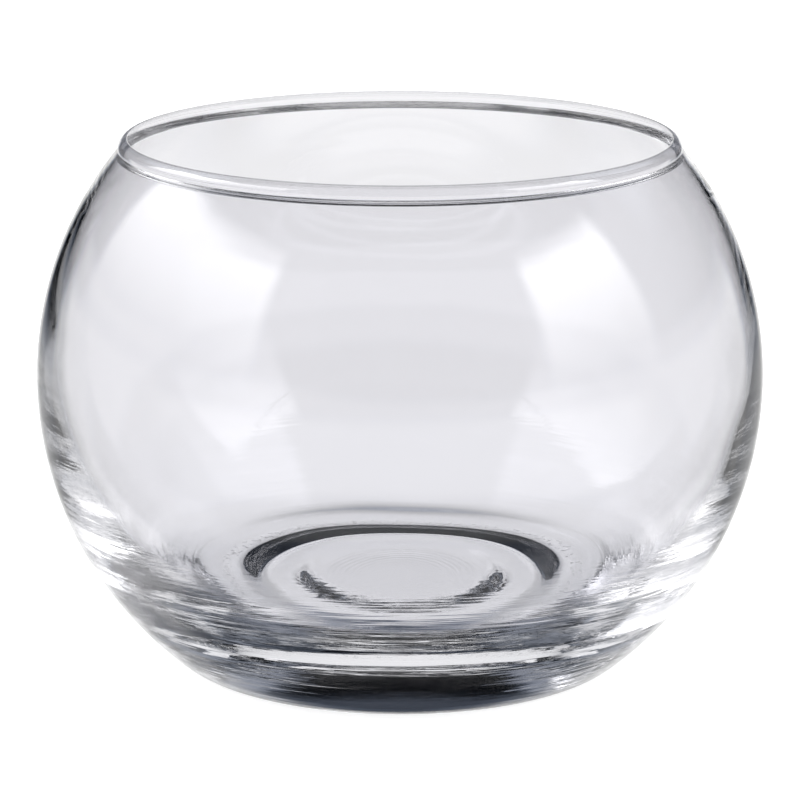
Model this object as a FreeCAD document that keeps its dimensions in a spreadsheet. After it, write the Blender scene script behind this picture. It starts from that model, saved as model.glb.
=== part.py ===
import FreeCAD, Part
import Sketcher
import math
import os

# Rose bowl vase: a round, open bowl blown from one gather of clear glass.
# The origin is the middle of the face that it stands on, with Z up.

doc = FreeCAD.newDocument("rose_bowl")

# Sizes in millimetres
SIZES = {
    # Outside, from the top down: the bead's middle is set in from the wall's
    "overall_height": 87.2,
    "mouth_diameter": 84.6,
    "bead_diameter": 3.1,
    "bead_inset": 0.55,
    "belly_diameter": 118.0,
    "belly_height": 47.9,
    "heel_radius": 10.0,
    "base_diameter": 62.0,
    # Thickness of the glass at the neck, at the belly and under the cavity
    "neck_wall": 1.2,
    "belly_wall": 2.25,
    "floor_thickness": 12.1,
    # Cavity: its widest place lies above the belly's, and its floor is a shallow dish with a round corner
    "cavity_lift": 2.6,
    "floor_dish": 0.25,
    "floor_corner_radius": 20.0,
    "floor_corner_setback": 6.25,
    # Underside, from the bearing ring inwards: a round trough, then a middle pad
    "ring_width": 1.2,
    "ring_slope_width": 8.7,
    "trough_width": 0.2,
    "trough_depth": 2.0,
    "pad_slope_width": 8.3,
    "pad_recess": 0.2,
    # Fire-polished blends where the bead runs into the wall
    "outer_blend_radius": 0.35,
    "inner_blend_radius": 0.9,
}

sheet = doc.addObject("Spreadsheet::Sheet", "Sizes")
for row, (alias, value) in enumerate(SIZES.items(), start=1):
    sheet.set(f"A{row}", alias)
    sheet.set(f"B{row}", str(value))
    sheet.setAlias(f"B{row}", alias)
doc.recompute()

# Places worked out from the sizes: a reach is measured from the axis, a height from the base
BELLY_REACH = "Sizes.belly_diameter / 2"
BELLY_HEIGHT = "Sizes.belly_height"
BASE_REACH = "Sizes.base_diameter / 2"
HEEL_RADIUS = "Sizes.heel_radius"
BEAD_RADIUS = "Sizes.bead_diameter / 2"
BEAD_REACH = "(Sizes.mouth_diameter + Sizes.bead_diameter) / 2"
BEAD_HEIGHT = "Sizes.overall_height - Sizes.bead_diameter / 2"
NECK_REACH = f"{BEAD_REACH} + Sizes.bead_inset"
NECK_OUTSIDE = f"{NECK_REACH} + Sizes.neck_wall / 2"
NECK_INSIDE = f"{NECK_REACH} - Sizes.neck_wall / 2"
CAVITY_REACH = f"{BELLY_REACH} - Sizes.belly_wall"
CAVITY_HEIGHT = "Sizes.belly_height + Sizes.cavity_lift"
CORNER_RADIUS = "Sizes.floor_corner_radius"
DISH_REACH = f"{CAVITY_REACH} - Sizes.floor_corner_setback - Sizes.floor_corner_radius"
DISH_HEIGHT = "Sizes.floor_thickness"
DISH_EDGE_HEIGHT = "Sizes.floor_thickness + Sizes.floor_dish"
OUTER_BLEND = "Sizes.outer_blend_radius"
INNER_BLEND = "Sizes.inner_blend_radius"
RING_REACH = f"{BASE_REACH} - Sizes.ring_width"
TROUGH_OUTER_REACH = f"{RING_REACH} - Sizes.ring_slope_width"
TROUGH_INNER_REACH = f"{TROUGH_OUTER_REACH} - Sizes.trough_width"
TROUGH_HEIGHT = "Sizes.trough_depth"
PAD_REACH = f"{TROUGH_INNER_REACH} - Sizes.pad_slope_width"
PAD_HEIGHT = "Sizes.pad_recess"


def number(formula):
    """The present value of one of the formulas above."""
    return float(sheet.evalExpression(formula))


# What a sketch constraint takes hold of: an end or the centre of a line or arc, or a sketch axis
START, END, CENTRE = range(1, 4)
LEVEL_AXIS, UPRIGHT_AXIS = -1, -2
ORIGIN = (LEVEL_AXIS, START)


def add_line(sketch, first, last):
    """A straight run between two points, each a reach and a height."""
    line = Part.LineSegment(FreeCAD.Vector(*first, 0), FreeCAD.Vector(*last, 0))
    return sketch.addGeometry(line, False)


def add_arc(sketch, centre, radius, first_angle, last_angle):
    """An arc, counterclockwise from its first angle to its last, both in radians."""
    circle = Part.Circle(FreeCAD.Vector(*centre, 0), FreeCAD.Vector(0, 0, 1), radius)
    return sketch.addGeometry(Part.ArcOfCircle(circle, first_angle, last_angle), False)


def constrain(sketch, kind, *hold):
    sketch.addConstraint(Sketcher.Constraint(kind, *hold))


def dimension(sketch, kind, formula, *hold):
    """A dimension that follows the sheet. Distances are measured from the origin."""
    if kind != "Radius":
        hold = ORIGIN + hold
    index = sketch.addConstraint(Sketcher.Constraint(kind, *hold, number(formula)))
    sketch.setExpression(f"Constraints[{index}]", formula)


def add_level(sketch, inner_reach, outer_reach, height):
    """A flat stretch of the section, from its inner end to its outer end."""
    first = (number(inner_reach), number(height))
    last = (number(outer_reach), number(height))
    level = add_line(sketch, first, last)
    constrain(sketch, "Horizontal", level)
    dimension(sketch, "DistanceX", outer_reach, level, END)
    return level


def add_slope(sketch, inner_level, outer_level):
    """Two equal arcs that carry the underside from one flat stretch to the next without a corner."""
    first = sketch.Geometry[inner_level].EndPoint
    last = sketch.Geometry[outer_level].StartPoint
    width, rise = last.x - first.x, last.y - first.y
    radius = (width ** 2 + rise ** 2) / (4 * abs(rise))
    turn = 2 * math.atan(abs(rise) / width)
    down, up = -math.pi / 2, math.pi / 2
    if rise > 0:
        inner = add_arc(sketch, (first.x, first.y + radius), radius, down, down + turn)
        outer = add_arc(sketch, (last.x, last.y - radius), radius, up, up + turn)
        ends = (START, END, END, START)
    else:
        inner = add_arc(sketch, (first.x, first.y - radius), radius, up - turn, up)
        outer = add_arc(sketch, (last.x, last.y + radius), radius, down - turn, down)
        ends = (END, START, START, END)
    constrain(sketch, "Tangent", inner_level, END, inner, ends[0])
    constrain(sketch, "Tangent", inner, ends[1], outer, ends[2])
    constrain(sketch, "Tangent", outer, ends[3], outer_level, START)
    constrain(sketch, "Equal", inner, outer)


def add_underside(sketch):
    """Middle pad, trough and bearing ring. Returns the pad and the ring."""
    pad = add_level(sketch, "0", PAD_REACH, PAD_HEIGHT)
    constrain(sketch, "PointOnObject", pad, START, UPRIGHT_AXIS)
    dimension(sketch, "DistanceY", PAD_HEIGHT, pad, START)
    trough = add_level(sketch, TROUGH_INNER_REACH, TROUGH_OUTER_REACH, TROUGH_HEIGHT)
    dimension(sketch, "DistanceX", TROUGH_INNER_REACH, trough, START)
    dimension(sketch, "DistanceY", TROUGH_HEIGHT, trough, START)
    ring = add_level(sketch, RING_REACH, BASE_REACH, "0")
    dimension(sketch, "DistanceX", RING_REACH, ring, START)
    constrain(sketch, "PointOnObject", ring, START, LEVEL_AXIS)
    add_slope(sketch, pad, trough)
    add_slope(sketch, trough, ring)
    return pad, ring


def add_dish(sketch):
    """The shallow round floor of the cavity. Returns it with its slope at the edge."""
    reach = number(DISH_REACH)
    depth = number(DISH_EDGE_HEIGHT) - number(DISH_HEIGHT)
    radius = (reach ** 2 + depth ** 2) / (2 * depth)
    slope = math.asin(reach / radius)
    down = -math.pi / 2
    dish = add_arc(sketch, (0, number(DISH_HEIGHT) + radius), radius, down, down + slope)
    constrain(sketch, "PointOnObject", dish, CENTRE, UPRIGHT_AXIS)
    constrain(sketch, "PointOnObject", dish, START, UPRIGHT_AXIS)
    dimension(sketch, "DistanceY", DISH_HEIGHT, dish, START)
    dimension(sketch, "DistanceX", DISH_REACH, dish, END)
    dimension(sketch, "DistanceY", DISH_EDGE_HEIGHT, dish, END)
    return dish, slope


def add_flank(sketch, foot, slope, corner, widest_reach, widest_height):
    """The round corner at the sloping end of a foot and the wall up to its widest place.

    Returns the wall.
    """
    small = number(corner)
    foot_end = sketch.Geometry[foot].EndPoint
    corner_centre = (foot_end.x - small * math.sin(slope), foot_end.y + small * math.cos(slope))
    reach = number(widest_reach) - corner_centre[0]
    rise = number(widest_height) - corner_centre[1]
    large = (reach ** 2 + rise ** 2 - small ** 2) / (2 * (reach - small))
    wall_centre = (number(widest_reach) - large, number(widest_height))
    meeting = math.atan2(corner_centre[1] - wall_centre[1], corner_centre[0] - wall_centre[0])
    corner_arc = add_arc(sketch, corner_centre, small, slope - math.pi / 2, meeting)
    wall = add_arc(sketch, wall_centre, large, meeting, 0)
    constrain(sketch, "Tangent", foot, END, corner_arc, START)
    constrain(sketch, "Tangent", corner_arc, END, wall, START)
    dimension(sketch, "Radius", corner, corner_arc)
    dimension(sketch, "DistanceX", widest_reach, wall, END)
    dimension(sketch, "DistanceY", widest_height, wall, END)
    dimension(sketch, "DistanceY", widest_height, wall, CENTRE)
    return wall


def add_shoulder(sketch, flank, widest_reach, widest_height, neck_reach, blend_radius, outside):
    """The wall from its widest place up to the bead, with the arc that blends it into the bead.

    Carried on, the wall would pass through a point beside the bead's middle. Returns the blend.
    """
    bead_reach, bead_height = number(BEAD_REACH), number(BEAD_HEIGHT)
    neck = (number(neck_reach), bead_height)
    reach = number(widest_reach) - neck[0]
    rise = neck[1] - number(widest_height)
    radius = (reach ** 2 + rise ** 2) / (2 * reach)
    centre = (number(widest_reach) - radius, number(widest_height))

    # The blend's centre lies one blend radius off the wall and one off the bead
    small = number(blend_radius)
    wall_gap = radius + small if outside else radius - small
    bead_gap = number(BEAD_RADIUS) + small
    apart = math.hypot(bead_reach - centre[0], bead_height - centre[1])
    bead_angle = math.atan2(bead_height - centre[1], bead_reach - centre[0])
    share = (wall_gap ** 2 + apart ** 2 - bead_gap ** 2) / (2 * wall_gap * apart)
    top = bead_angle - math.acos(share)
    blend_centre = (centre[0] + wall_gap * math.cos(top), centre[1] + wall_gap * math.sin(top))
    to_bead = math.atan2(bead_height - blend_centre[1], bead_reach - blend_centre[0])

    shoulder = add_arc(sketch, centre, radius, 0, top)
    point = sketch.addGeometry(Part.Point(FreeCAD.Vector(*neck, 0)), True)
    constrain(sketch, "Coincident", flank, END, shoulder, START)
    dimension(sketch, "DistanceY", widest_height, shoulder, CENTRE)
    dimension(sketch, "DistanceX", neck_reach, point, START)
    dimension(sketch, "DistanceY", BEAD_HEIGHT, point, START)
    constrain(sketch, "PointOnObject", point, START, shoulder)
    if outside:
        blend = add_arc(sketch, blend_centre, small, to_bead, top + math.pi)
        constrain(sketch, "Tangent", shoulder, END, blend, END)
    else:
        blend = add_arc(sketch, blend_centre, small, top, to_bead)
        constrain(sketch, "Tangent", shoulder, END, blend, START)
    dimension(sketch, "Radius", blend_radius, blend)
    return blend


def add_bead(sketch, outer_blend, inner_blend):
    """The round bead of the rim, from the outer blend over the top to the inner blend."""
    centre = (number(BEAD_REACH), number(BEAD_HEIGHT))
    ends = []
    for blend in (outer_blend, inner_blend):
        blend_centre = sketch.Geometry[blend].Center
        ends.append(math.atan2(blend_centre.y - centre[1], blend_centre.x - centre[0]))
    bead = add_arc(sketch, centre, number(BEAD_RADIUS), ends[0], ends[1] + 2 * math.pi)
    dimension(sketch, "DistanceX", BEAD_REACH, bead, CENTRE)
    dimension(sketch, "DistanceY", BEAD_HEIGHT, bead, CENTRE)
    dimension(sketch, "Radius", BEAD_RADIUS, bead)
    constrain(sketch, "Tangent", outer_blend, START, bead, START)
    constrain(sketch, "Tangent", bead, END, inner_blend, END)


def add_section(sketch):
    """Half of the glass cut through its axis: underside, outer wall, bead, cavity and axis."""
    pad, ring = add_underside(sketch)
    outer_flank = add_flank(sketch, ring, 0, HEEL_RADIUS, BELLY_REACH, BELLY_HEIGHT)
    outer_blend = add_shoulder(
        sketch, outer_flank, BELLY_REACH, BELLY_HEIGHT, NECK_OUTSIDE, OUTER_BLEND, True)
    dish, slope = add_dish(sketch)
    inner_flank = add_flank(sketch, dish, slope, CORNER_RADIUS, CAVITY_REACH, CAVITY_HEIGHT)
    inner_blend = add_shoulder(
        sketch, inner_flank, CAVITY_REACH, CAVITY_HEIGHT, NECK_INSIDE, INNER_BLEND, False)
    add_bead(sketch, outer_blend, inner_blend)
    axis = add_line(sketch, (0, number(PAD_HEIGHT)), (0, number(DISH_HEIGHT)))
    constrain(sketch, "Coincident", axis, START, pad, START)
    constrain(sketch, "Coincident", axis, END, dish, START)


def origin_plane(body, role):
    for feature in body.Origin.OriginFeatures:
        if feature.Role == role:
            return feature
    raise ValueError(role)


# Glass bowl: blown in one piece, so its rim, wall, heavy base and underside are one body
bowl = doc.addObject("PartDesign::Body", "glass_bowl")
bowl.Label = "glass_bowl"
section = bowl.newObject("Sketcher::SketchObject", "wall_section")
section.AttachmentSupport = [(origin_plane(bowl, "XZ_Plane"), "")]
section.MapMode = "FlatFace"
add_section(section)
doc.recompute()

turned_glass = bowl.newObject("PartDesign::Revolution", "turned_glass")
turned_glass.Profile = section
turned_glass.ReferenceAxis = (section, ["V_Axis"])
turned_glass.Angle = 360
bowl.Tip = turned_glass
doc.recompute()

# Checks before anything is written
for item in doc.Objects:
    if {"Invalid", "Error"} & set(item.State):
        raise RuntimeError(f"{item.Label} failed: {item.State}")
if not section.FullyConstrained:
    raise RuntimeError("the section sketch is not fully constrained")
pieces = [item for item in doc.Objects if item.TypeId == "PartDesign::Body"]
for piece in pieces:
    if piece.Shape.isNull() or not piece.Shape.isValid() or len(piece.Shape.Solids) != 1:
        raise RuntimeError(f"{piece.Label} is not one valid solid")

os.makedirs("parts", exist_ok=True)
for piece in pieces:
    piece.Shape.exportStep(f"parts/{piece.Label}.step")
    box = piece.Shape.BoundBox
    litres_per_cubic_mm = 1e-6
    print(piece.Label, f"{box.XLength:.2f} x {box.YLength:.2f} x {box.ZLength:.2f} mm,",
          f"glass volume {piece.Shape.Volume * litres_per_cubic_mm:.4f} l")
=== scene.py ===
import math

import bmesh
import bpy
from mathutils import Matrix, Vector, noise


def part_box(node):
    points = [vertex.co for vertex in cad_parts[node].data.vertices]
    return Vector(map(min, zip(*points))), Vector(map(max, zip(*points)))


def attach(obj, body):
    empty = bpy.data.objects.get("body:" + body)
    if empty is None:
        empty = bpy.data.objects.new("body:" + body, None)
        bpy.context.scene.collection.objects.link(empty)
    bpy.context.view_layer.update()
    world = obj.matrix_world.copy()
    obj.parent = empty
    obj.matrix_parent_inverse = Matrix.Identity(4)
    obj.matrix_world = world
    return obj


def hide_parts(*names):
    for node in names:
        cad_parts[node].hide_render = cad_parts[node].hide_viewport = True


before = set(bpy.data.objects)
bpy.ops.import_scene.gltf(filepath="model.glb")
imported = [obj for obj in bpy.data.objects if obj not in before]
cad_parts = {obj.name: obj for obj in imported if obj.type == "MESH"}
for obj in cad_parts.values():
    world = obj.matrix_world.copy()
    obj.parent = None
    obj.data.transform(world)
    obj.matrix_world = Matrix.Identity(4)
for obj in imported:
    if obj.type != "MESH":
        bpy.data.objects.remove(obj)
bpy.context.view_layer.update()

# Glass bowl
# One gather of clear soda-lime glass, blown round and open, with a heavy base. The cut edge of
# the mouth is melted in a flame into a round bead, and the base is pressed hollow underneath so
# that it stands on a narrow ring. The hot glass cools slightly wavy where it met the mould.
mm = 0.001
belly_reach, _, overall_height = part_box("glass_bowl")[1]
belly_height = 47.9 * mm
belly_wall = 2.25 * mm
neck_wall = 1.2 * mm
bead_radius = 1.55 * mm
bead_reach = 43.85 * mm
bead_inset = 0.55 * mm
outer_blend = 0.35 * mm
inner_blend = 0.9 * mm
heel_radius = 10 * mm
base_reach = 31 * mm
cavity_lift = 2.6 * mm
dish_reach = 30.5 * mm
dish_height = 12.1 * mm
dish_rise = 0.25 * mm
floor_corner_radius = 20 * mm
ring_reach = 29.8 * mm
trough_reach = 21 * mm
trough_width = 0.2 * mm
trough_depth = 2 * mm
pad_reach = 12.6 * mm
pad_recess = 0.2 * mm
outline_spacing = 1.0 * mm
merge_distance = 0.0001 * mm
steps_around = 256


def place(reach, height):
    """A point of the outline, which is drawn in the plane of X and Z."""
    return Vector((reach, 0, height))


def toward(start, goal, distance):
    """The point at a distance from start on the line to goal."""
    return start + (goal - start).normalized() * distance


def run_to(outline, last, goal):
    """Carries the outline straight on to a goal."""
    steps = max(1, round((goal - last.co).length / outline_spacing))
    stride = (goal - last.co) / steps
    for step in range(steps):
        last = bmesh.ops.extrude_vert_indiv(outline, verts=[last])["verts"][0]
        bmesh.ops.translate(outline, verts=[last], vec=stride)
    return last


def turn_to(outline, last, centre, goal, fewest=6):
    """Carries the outline on round a centre to a goal, by the shorter way."""
    start, end = last.co - centre, goal - centre
    turn = math.atan2(start.x * end.z - start.z * end.x, start.x * end.x + start.z * end.z)
    steps = max(fewest, round(abs(turn) * start.length / outline_spacing))
    made = bmesh.ops.spin(outline, geom=[last], cent=centre, axis=(0, -1, 0), angle=turn, steps=steps)
    return made["geom_last"][0]


def slope_to(outline, last, goal):
    """Two equal arcs that carry the underside from one level to another."""
    start = last.co.copy()
    middle = (start + goal) / 2
    across, rise = goal.x - start.x, goal.z - start.z
    radius = place(0, (across ** 2 + rise ** 2) / (4 * rise))
    last = turn_to(outline, last, start + radius, middle)
    return turn_to(outline, last, goal - radius, goal)


def wall_centre(widest, corner_centre, corner_radius):
    """Centre of the wall's arc, level with its widest place, that runs on from a round corner."""
    reach = widest.x - corner_centre.x
    drop = widest.z - corner_centre.z
    radius = (reach ** 2 + drop ** 2 - corner_radius ** 2) / (2 * (reach - corner_radius))
    return place(widest.x - radius, widest.z)


def shoulder_centre(widest, neck):
    """Centre of the arc, level with the widest place, that would run on through a point of the neck."""
    reach, rise = widest.x - neck.x, neck.z - widest.z
    return place(widest.x - (reach ** 2 + rise ** 2) / (2 * reach), widest.z)


def blend_centre(wall, wall_gap, bead, bead_gap):
    """The lower of the two points at both gaps from the centres of a wall and of the bead."""
    across = bead - wall
    share = (wall_gap ** 2 + across.length_squared - bead_gap ** 2) / (2 * wall_gap * across.length)
    angle = math.atan2(across.z, across.x) - math.acos(share)
    return wall + place(wall_gap * math.cos(angle), wall_gap * math.sin(angle))


outline = bmesh.new()
bead = place(bead_reach, overall_height - bead_radius)

# Underside: pad, trough and bearing ring
last = outline.verts.new(place(0, pad_recess))
last = run_to(outline, last, place(pad_reach, pad_recess))
last = slope_to(outline, last, place(trough_reach - trough_width / 2, trough_depth))
last = run_to(outline, last, place(trough_reach + trough_width / 2, trough_depth))
last = slope_to(outline, last, place(ring_reach, 0))
last = run_to(outline, last, place(base_reach, 0))

# Outer wall: heel, belly and shoulder
belly = place(belly_reach, belly_height)
heel = place(base_reach, heel_radius)
flank = wall_centre(belly, heel, heel_radius)
last = turn_to(outline, last, heel, toward(flank, heel, belly_reach - flank.x))
last = turn_to(outline, last, flank, belly)
neck = bead + place(bead_inset + neck_wall / 2, 0)
shoulder = shoulder_centre(belly, neck)
shoulder_radius = belly_reach - shoulder.x
blend = blend_centre(shoulder, shoulder_radius + outer_blend, bead, bead_radius + outer_blend)
last = turn_to(outline, last, shoulder, toward(shoulder, blend, shoulder_radius))
last = turn_to(outline, last, blend, toward(bead, blend, bead_radius))

# Bead of the rim, over the top and down into the cavity
last = turn_to(outline, last, bead, place(bead_reach, overall_height), fewest=20)
cavity = place(belly_reach - belly_wall, belly_height + cavity_lift)
neck = bead + place(bead_inset - neck_wall / 2, 0)
shoulder = shoulder_centre(cavity, neck)
shoulder_radius = cavity.x - shoulder.x
blend = blend_centre(shoulder, shoulder_radius - inner_blend, bead, bead_radius + inner_blend)
last = turn_to(outline, last, bead, toward(bead, blend, bead_radius), fewest=20)
last = turn_to(outline, last, blend, toward(shoulder, blend, shoulder_radius), fewest=12)
last = turn_to(outline, last, shoulder, cavity)

# Cavity wall and its dished floor
dish_radius = (dish_reach ** 2 + dish_rise ** 2) / (2 * dish_rise)
dish = place(0, dish_height + dish_radius)
dish_edge = place(dish_reach, dish_height + dish_rise)
corner = toward(dish_edge, dish, floor_corner_radius)
flank = wall_centre(cavity, corner, floor_corner_radius)
last = turn_to(outline, last, flank, toward(flank, corner, cavity.x - flank.x))
last = turn_to(outline, last, corner, dish_edge)
last = turn_to(outline, last, dish, place(0, dish_height))

bmesh.ops.spin(
    outline, geom=outline.verts[:] + outline.edges[:], cent=(0, 0, 0), axis=(0, 0, 1),
    angle=math.tau, steps=steps_around, use_merge=True)
bmesh.ops.remove_doubles(outline, verts=outline.verts[:], dist=merge_distance)
bmesh.ops.recalc_face_normals(outline, faces=outline.faces[:])
if outline.calc_volume(signed=True) < 0:
    bmesh.ops.reverse_faces(outline, faces=outline.faces[:])
outline.normal_update()

# Free-blown inside, so the cavity has shallow waves and sits slightly off the middle below the rim
wave_depth = 0.10 * mm
wave_spread = Vector((18, 18, 12)) * mm
cavity_shift = Vector((0.3, 0, 0)) * mm
still_height = overall_height - 6 * mm
fade_height = 24 * mm
inside_height = 8 * mm
floor_facing = 0.5
for point in outline.verts:
    out = Vector((point.co.x, point.co.y, 0))
    inwards = point.normal.dot(out) < 0 or point.normal.z > floor_facing
    if inwards and inside_height < point.co.z < still_height:
        fade = min(1, (still_height - point.co.z) / fade_height)
        wave = noise.noise(Vector(part / spread for part, spread in zip(point.co, wave_spread)))
        point.co += fade * (cavity_shift - wave_depth * wave * point.normal)

bowl_mesh = bpy.data.meshes.new("blown_glass_bowl")
outline.to_mesh(bowl_mesh)
outline.free()
bowl_mesh.shade_smooth()
bowl = bpy.data.objects.new("blown_glass_bowl", bowl_mesh)
bpy.context.scene.collection.objects.link(bowl)
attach(bowl, "root")
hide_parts("glass_bowl")


class Shade:
    """A socket in a material or in the world. Sums with shades or numbers add Math nodes."""

    def __init__(self, tree, socket):
        self.tree = tree
        self.socket = socket

    def node(self, kind, settings, inputs, output=0):
        """Adds a node of a kind, with its settings and the values or shades of its inputs."""
        node = self.tree.nodes.new(kind)
        for name, setting in settings.items():
            setattr(node, name, setting)
        for name, value in inputs.items():
            if isinstance(value, Shade):
                self.tree.links.new(value.socket, node.inputs[name])
            else:
                node.inputs[name].default_value = value
        return Shade(self.tree, node.outputs[output])

    def math(self, operation, *others):
        """Adds a Math node whose first value is this shade."""
        values = dict(enumerate((self, *others)))
        return self.node("ShaderNodeMath", {"operation": operation}, values)

    def __add__(self, other):
        return self.math("ADD", other)

    def __rsub__(self, other):
        return self.node("ShaderNodeMath", {"operation": "SUBTRACT"}, {0: other, 1: self})

    def __mul__(self, other):
        return self.math("MULTIPLY", other)

    __radd__ = __add__
    __rmul__ = __mul__

    def rise(self, start, end):
        """0 below start and 1 above end, with a smooth climb between them."""
        inputs = {"Value": self, "From Min": start, "From Max": end}
        return self.node("ShaderNodeMapRange", {"interpolation_type": "SMOOTHSTEP"}, inputs, "Result")

    def band(self, start, end, edge):
        """1 between start and end, fading over an edge on both sides."""
        return self.rise(start - edge, start + edge) * (1 - self.rise(end - edge, end + edge))


refractive_index = 1.52
glass = bpy.data.materials.new("clear_glass")
glass.use_nodes = True
tree = glass.node_tree
shader = tree.nodes["Principled BSDF"]
shader.inputs["Transmission Weight"].default_value = 1
shader.inputs["IOR"].default_value = refractive_index
here = Shade(tree, tree.nodes.new("ShaderNodeTexCoord").outputs["Object"])
side, front, height = (here.node("ShaderNodeSeparateXYZ", {}, {0: here}, axis) for axis in "XYZ")
reach = (side * side + front * front).math("SQRT")

# The mould left long level streaks low on the wall, and the press left fine rings under the base
streak_depth = 0.09 * mm
streak_scale = (16, 16, 600)
streak_fade = (20 * mm, 32 * mm)
ring_depth = 0.014 * mm
ring_spacing = 1.1 * mm
ring_patch_scale = 160
ring_span = (7 * mm, 15 * mm)
ring_edge = 3 * mm
ring_fade = (2 * mm, 4 * mm)
low_down = 1 - height.rise(*streak_fade)
stretched = here.node("ShaderNodeMapping", {}, {"Vector": here, "Scale": streak_scale})
streaks = here.node("ShaderNodeTexNoise", {}, {"Vector": stretched, "Scale": 1, "Detail": 3})
patches = here.node("ShaderNodeTexNoise", {}, {"Vector": here, "Scale": ring_patch_scale, "Detail": 1})
rings = (reach * (math.tau / ring_spacing)).math("SINE") * patches
underside = reach.band(*ring_span, ring_edge) * (1 - height.rise(*ring_fade))
relief = streaks * low_down * streak_depth + rings * underside * ring_depth
bump = relief.node("ShaderNodeBump", {}, {"Strength": 1, "Distance": 1, "Height": relief}, "Normal")
tree.links.new(bump.socket, shader.inputs["Normal"])

# Fire-polished all over, apart from the ring that it stands on, which wear has made matt in places
worn_height = (0.02 * mm, 0.3 * mm)
worn_reach = (29 * mm, 30 * mm)
scuff_scale = 900
scuff_share = (0.4, 0.7)
scuff_roughness = 0.4
worn = (1 - height.rise(*worn_height)) * reach.rise(*worn_reach)
scuffs = here.node("ShaderNodeTexNoise", {}, {"Vector": here, "Scale": scuff_scale, "Detail": 4})
roughness = worn * scuffs.rise(*scuff_share) * scuff_roughness
tree.links.new(roughness.socket, shader.inputs["Roughness"])

# Nearly colourless, a little cooler and greyer where the glass of the base is thick
thin_tint = (0.935, 0.932, 0.955, 1)
thick_tint = (0.912, 0.912, 0.942, 1)
thick_share = 0.8
cord_share = 0.2
cord_scale = 45
cords = here.node("ShaderNodeTexNoise", {}, {"Vector": here, "Scale": cord_scale, "Detail": 2})
share = low_down * thick_share + cords * cord_share
tint = share.node(
    "ShaderNodeMix", {"data_type": "RGBA"}, {0: share, 6: thin_tint, 7: thick_tint}, 2)
tree.links.new(tint.socket, shader.inputs["Base Color"])
bowl_mesh.materials.append(glass)

# Floor
# The bowl stands on a wide sheet of white paper, which is part of the studio and not of the bowl.
# It glows a little so that it stays white, and its matt share takes the bowl's soft shadow.
floor_reach = 2.5
floor_gap = 0.05 * mm
paper_white = (0.9, 0.9, 0.9, 1)
paper_glow = 0.8
floor_mesh = bpy.data.meshes.new("paper_floor")
paper = bmesh.new()
bmesh.ops.create_circle(paper, cap_ends=True, segments=64, radius=floor_reach)
paper.to_mesh(floor_mesh)
paper.free()
floor = bpy.data.objects.new("paper_floor", floor_mesh)
floor.location.z = -floor_gap
floor.visible_transmission = False
floor.visible_glossy = False
bpy.context.scene.collection.objects.link(floor)

floor_paper = bpy.data.materials.new("floor_paper")
floor_paper.use_nodes = True
shader = floor_paper.node_tree.nodes["Principled BSDF"]
shader.inputs["Base Color"].default_value = paper_white
shader.inputs["Roughness"].default_value = 1
shader.inputs["Specular IOR Level"].default_value = 0
shader.inputs["Emission Color"].default_value = (1, 1, 1, 1)
shader.inputs["Emission Strength"].default_value = paper_glow
floor_mesh.materials.append(floor_paper)

# Studio light
# A dim, cool room with a white sheet behind the bowl, a white table and a large soft lamp on each
# side. The glass shows them bent and mirrored, which draws its dark edges and its pale patches.
# Azimuth is turned from the camera's side towards +X, elevation is up from level, in degrees.
studio = bpy.data.worlds.new("studio")
bpy.context.scene.world = studio
studio.use_nodes = True
tree = studio.node_tree
background = tree.nodes["Background"]
light_path = tree.nodes.new("ShaderNodeLightPath")
seen = Shade(tree, light_path.outputs["Is Camera Ray"])
diffuse = Shade(tree, light_path.outputs["Is Diffuse Ray"])
through = Shade(tree, light_path.outputs["Is Transmission Ray"])
direction = seen.node("ShaderNodeTexCoord", {}, {}, "Generated")
parts = [direction.node("ShaderNodeSeparateXYZ", {}, {0: direction}, axis) for axis in "XYZ"]
azimuth = parts[0].math("ARCTAN2", parts[1] * -1) * math.degrees(1)
elevation = parts[2].math("ARCSINE") * math.degrees(1)
turn = azimuth.math("ABSOLUTE")
soft_edge = 3

# White sheet, a little darker at its sides, with a dark card before it on the left and the right
behind_edge = (74, 86)
sheet_foot = (-60, -40)
sheet_top = (0, 5)
sheet_sides = (120, 178)
side_level = 0.75
card_span = (140, 163)
card_foot = (-12, -6)
low_card_share = 0.3
behind = turn.rise(*behind_edge)
card_share = low_card_share + (1 - low_card_share) * elevation.rise(*card_foot)
card = turn.band(*card_span, soft_edge) * card_share
sheet = behind * elevation.rise(*sheet_foot) * (1 - elevation.rise(*sheet_top)) * (1 - card)
sheet = sheet * (side_level + (1 - side_level) * turn.rise(*sheet_sides))

# White table, on the camera's side of the bowl
table_level = 1.1
table_span = (-40, -2)
table = (1 - behind) * elevation.band(*table_span, soft_edge) * table_level

# Two lamps, which shine most from high up, and the right one a little more
lamp_level = 3.0
lamp_fade = (-7, 45)
right_gain = 1.15
right_sides = (48, 89)
right_heights = (0, 40)
left_sides = (-125, -48)
left_heights = (1, 40)
right_lamp = azimuth.band(*right_sides, soft_edge) * elevation.band(*right_heights, soft_edge)
left_lamp = azimuth.band(*left_sides, soft_edge) * elevation.band(*left_heights, soft_edge)
lamps = (right_lamp * right_gain + left_lamp) * elevation.rise(*lamp_fade) * lamp_level

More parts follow.
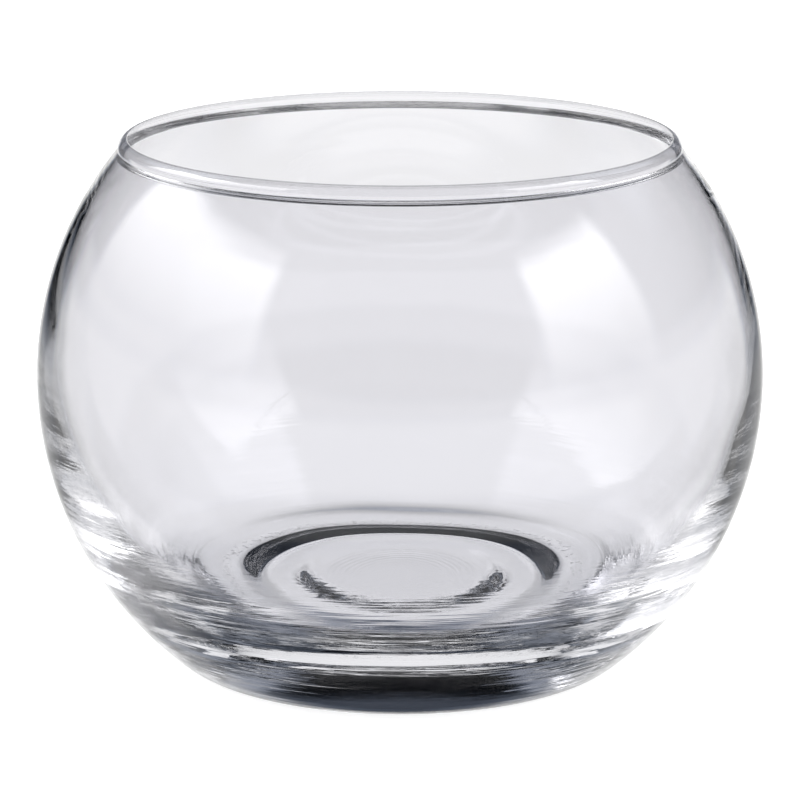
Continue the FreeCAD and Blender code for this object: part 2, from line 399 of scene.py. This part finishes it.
# The room: nearly dark, with a dim strip of wall over the sheet and a glow high up at its sides
room_level = 0.003
strip_level = 0.08
strip_edge = (145, 155)
strip_heights = (5, 19)
strip = turn.rise(*strip_edge) * elevation.band(*strip_heights, soft_edge) * strip_level
glow_level = 0.35
glow_sides = (110, 155)
glow_heights = (26, 52)
glow_side_edge = 6
glow_height_edge = 4
glow = turn.band(*glow_sides, glow_side_edge) * elevation.band(*glow_heights, glow_height_edge)

# White paper under the bowl, seen only by rays that have come through the glass
below_level = 0.9
below_span = (-70, -58)
below = through * (1 - elevation.rise(*below_span)) * below_level

# What the camera sees past the bowl is white, and the paper floor is lit evenly. Dim light is cool
light = room_level + sheet + table + lamps + strip + glow * glow_level + below
light = light * (1 - seen) * (1 - diffuse) + seen + diffuse * paper_glow
cool = (0.75, 0.9, 1.2, 1)
white = (1, 1, 1, 1)
whitening = 1.5
hue = light.node(
    "ShaderNodeMix", {"data_type": "RGBA"}, {0: light * whitening, 6: cool, 7: white}, 2)
light = light.node("ShaderNodeVectorMath", {"operation": "MULTIPLY"}, {0: light, 1: hue})
tree.links.new(light.socket, background.inputs["Color"])

# Camera
# It stands a little above the rim and looks down at the bowl, with a long lens as for small glass.
# Its distance and lens give the rim and the base the same curves as in the photograph.
camera_distance = 0.7
camera_elevation = math.radians(13.5)
aim_height = 43.4 * mm
lens = 192.94
camera_data = bpy.data.cameras.new("camera")
camera_data.sensor_width = 36
camera_data.lens = lens
camera = bpy.data.objects.new("camera", camera_data)
camera.location = (
    0, -camera_distance * math.cos(camera_elevation),
    aim_height + camera_distance * math.sin(camera_elevation))
camera.rotation_euler = (math.pi / 2 - camera_elevation, 0, 0)
bpy.context.scene.collection.objects.link(camera)
bpy.context.scene.camera = camera

scene = bpy.context.scene
scene.view_settings.view_transform = "Standard"
# Light that is caught in the heavy base crosses the glass many times before it gets out
crossings = 96
scene.cycles.max_bounces = crossings
scene.cycles.transmission_bounces = crossings
scene.cycles.glossy_bounces = crossings
